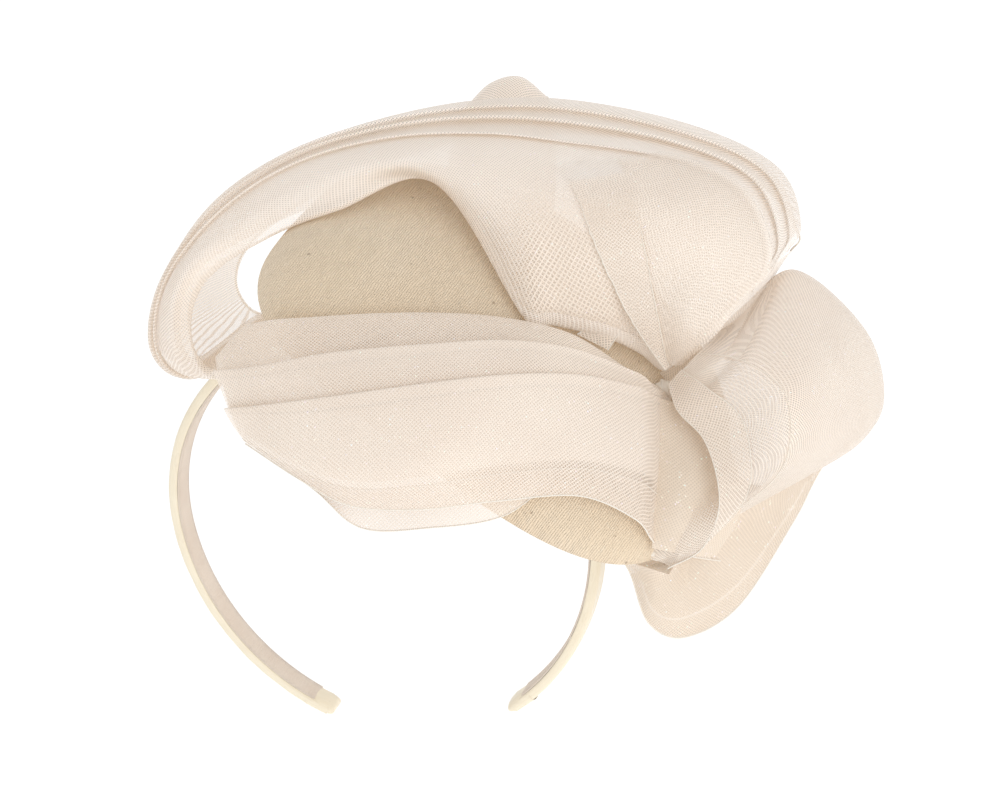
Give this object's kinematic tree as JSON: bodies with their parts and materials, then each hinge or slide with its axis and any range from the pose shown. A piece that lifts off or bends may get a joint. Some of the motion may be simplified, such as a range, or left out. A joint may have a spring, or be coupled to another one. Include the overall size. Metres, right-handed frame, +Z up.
{
  "type": "knotted headband",
  "caption": "Satin covered headband carrying a felt covered oval base and a large gathered bow of sheer open weave ribbon with tucked edges.",
  "frame": {"origin": "middle of the band's inner face at the top of the head", "axes": "+X along the band to the wearer's left, -Y the front, +Z up out of the top of the head"},
  "size_m": [0.204, 0.1587, 0.173],
  "materials": {
    "spring_strip": "smooth moulded strip",
    "band_satin": "ivory satin, soft lengthwise gloss",
    "ribbed_lining": "ribbed ribbon, ribs across the band",
    "base_felt": "cream felt under fine woven cloth, slightly fuzzy",
    "base_lining_cloth": "plain woven lining",
    "rim_wire": "cotton wrapped wire",
    "sewing_thread": "twisted thread",
    "open_weave_ribbon": "sheer open weave of glossy ivory filament with fine sparkle"
  },
  "bodies": {
    "crown": {"crown_core": "spring_strip", "crown_cover": "band_satin", "crown_lining": "ribbed_lining", "base_shell": "base_felt", "base_lining": "base_lining_cloth", "base_rim_wire": "rim_wire", "base_tie_stitches": "sewing_thread", "brim_loop": "open_weave_ribbon", "brim_loop_tail": "open_weave_ribbon", "fan_facing": "open_weave_ribbon", "inner_tab": "open_weave_ribbon", "front_loop": "open_weave_ribbon", "right_loop": "open_weave_ribbon", "lower_loop": "open_weave_ribbon", "back_loop": "open_weave_ribbon", "main_knot": "open_weave_ribbon", "lower_knot": "open_weave_ribbon", "brim_tail_knot": "open_weave_ribbon"},
    "left_arm": {"left_arm_core": "spring_strip", "left_arm_cover": "band_satin", "left_arm_lining": "ribbed_lining", "left_tip_fold": "band_satin"},
    "right_arm": {"right_arm_core": "spring_strip", "right_arm_cover": "band_satin", "right_arm_lining": "ribbed_lining", "right_tip_fold": "band_satin"}
  },
  "joints": [
    {"name": "left_arm_spread", "type": "hinge", "parent": "crown", "child": "left_arm", "pos_m": [-0.0649, 0, -0.0576], "axis": [0, 1, 0], "range_deg": [0, 12], "stiffness_Nm_per_rad": 2},
    {"name": "right_arm_spread", "type": "hinge", "parent": "crown", "child": "right_arm", "pos_m": [0.0649, 0, -0.0576], "axis": [0, -1, 0], "range_deg": [0, 12], "stiffness_Nm_per_rad": 2}
  ]
}
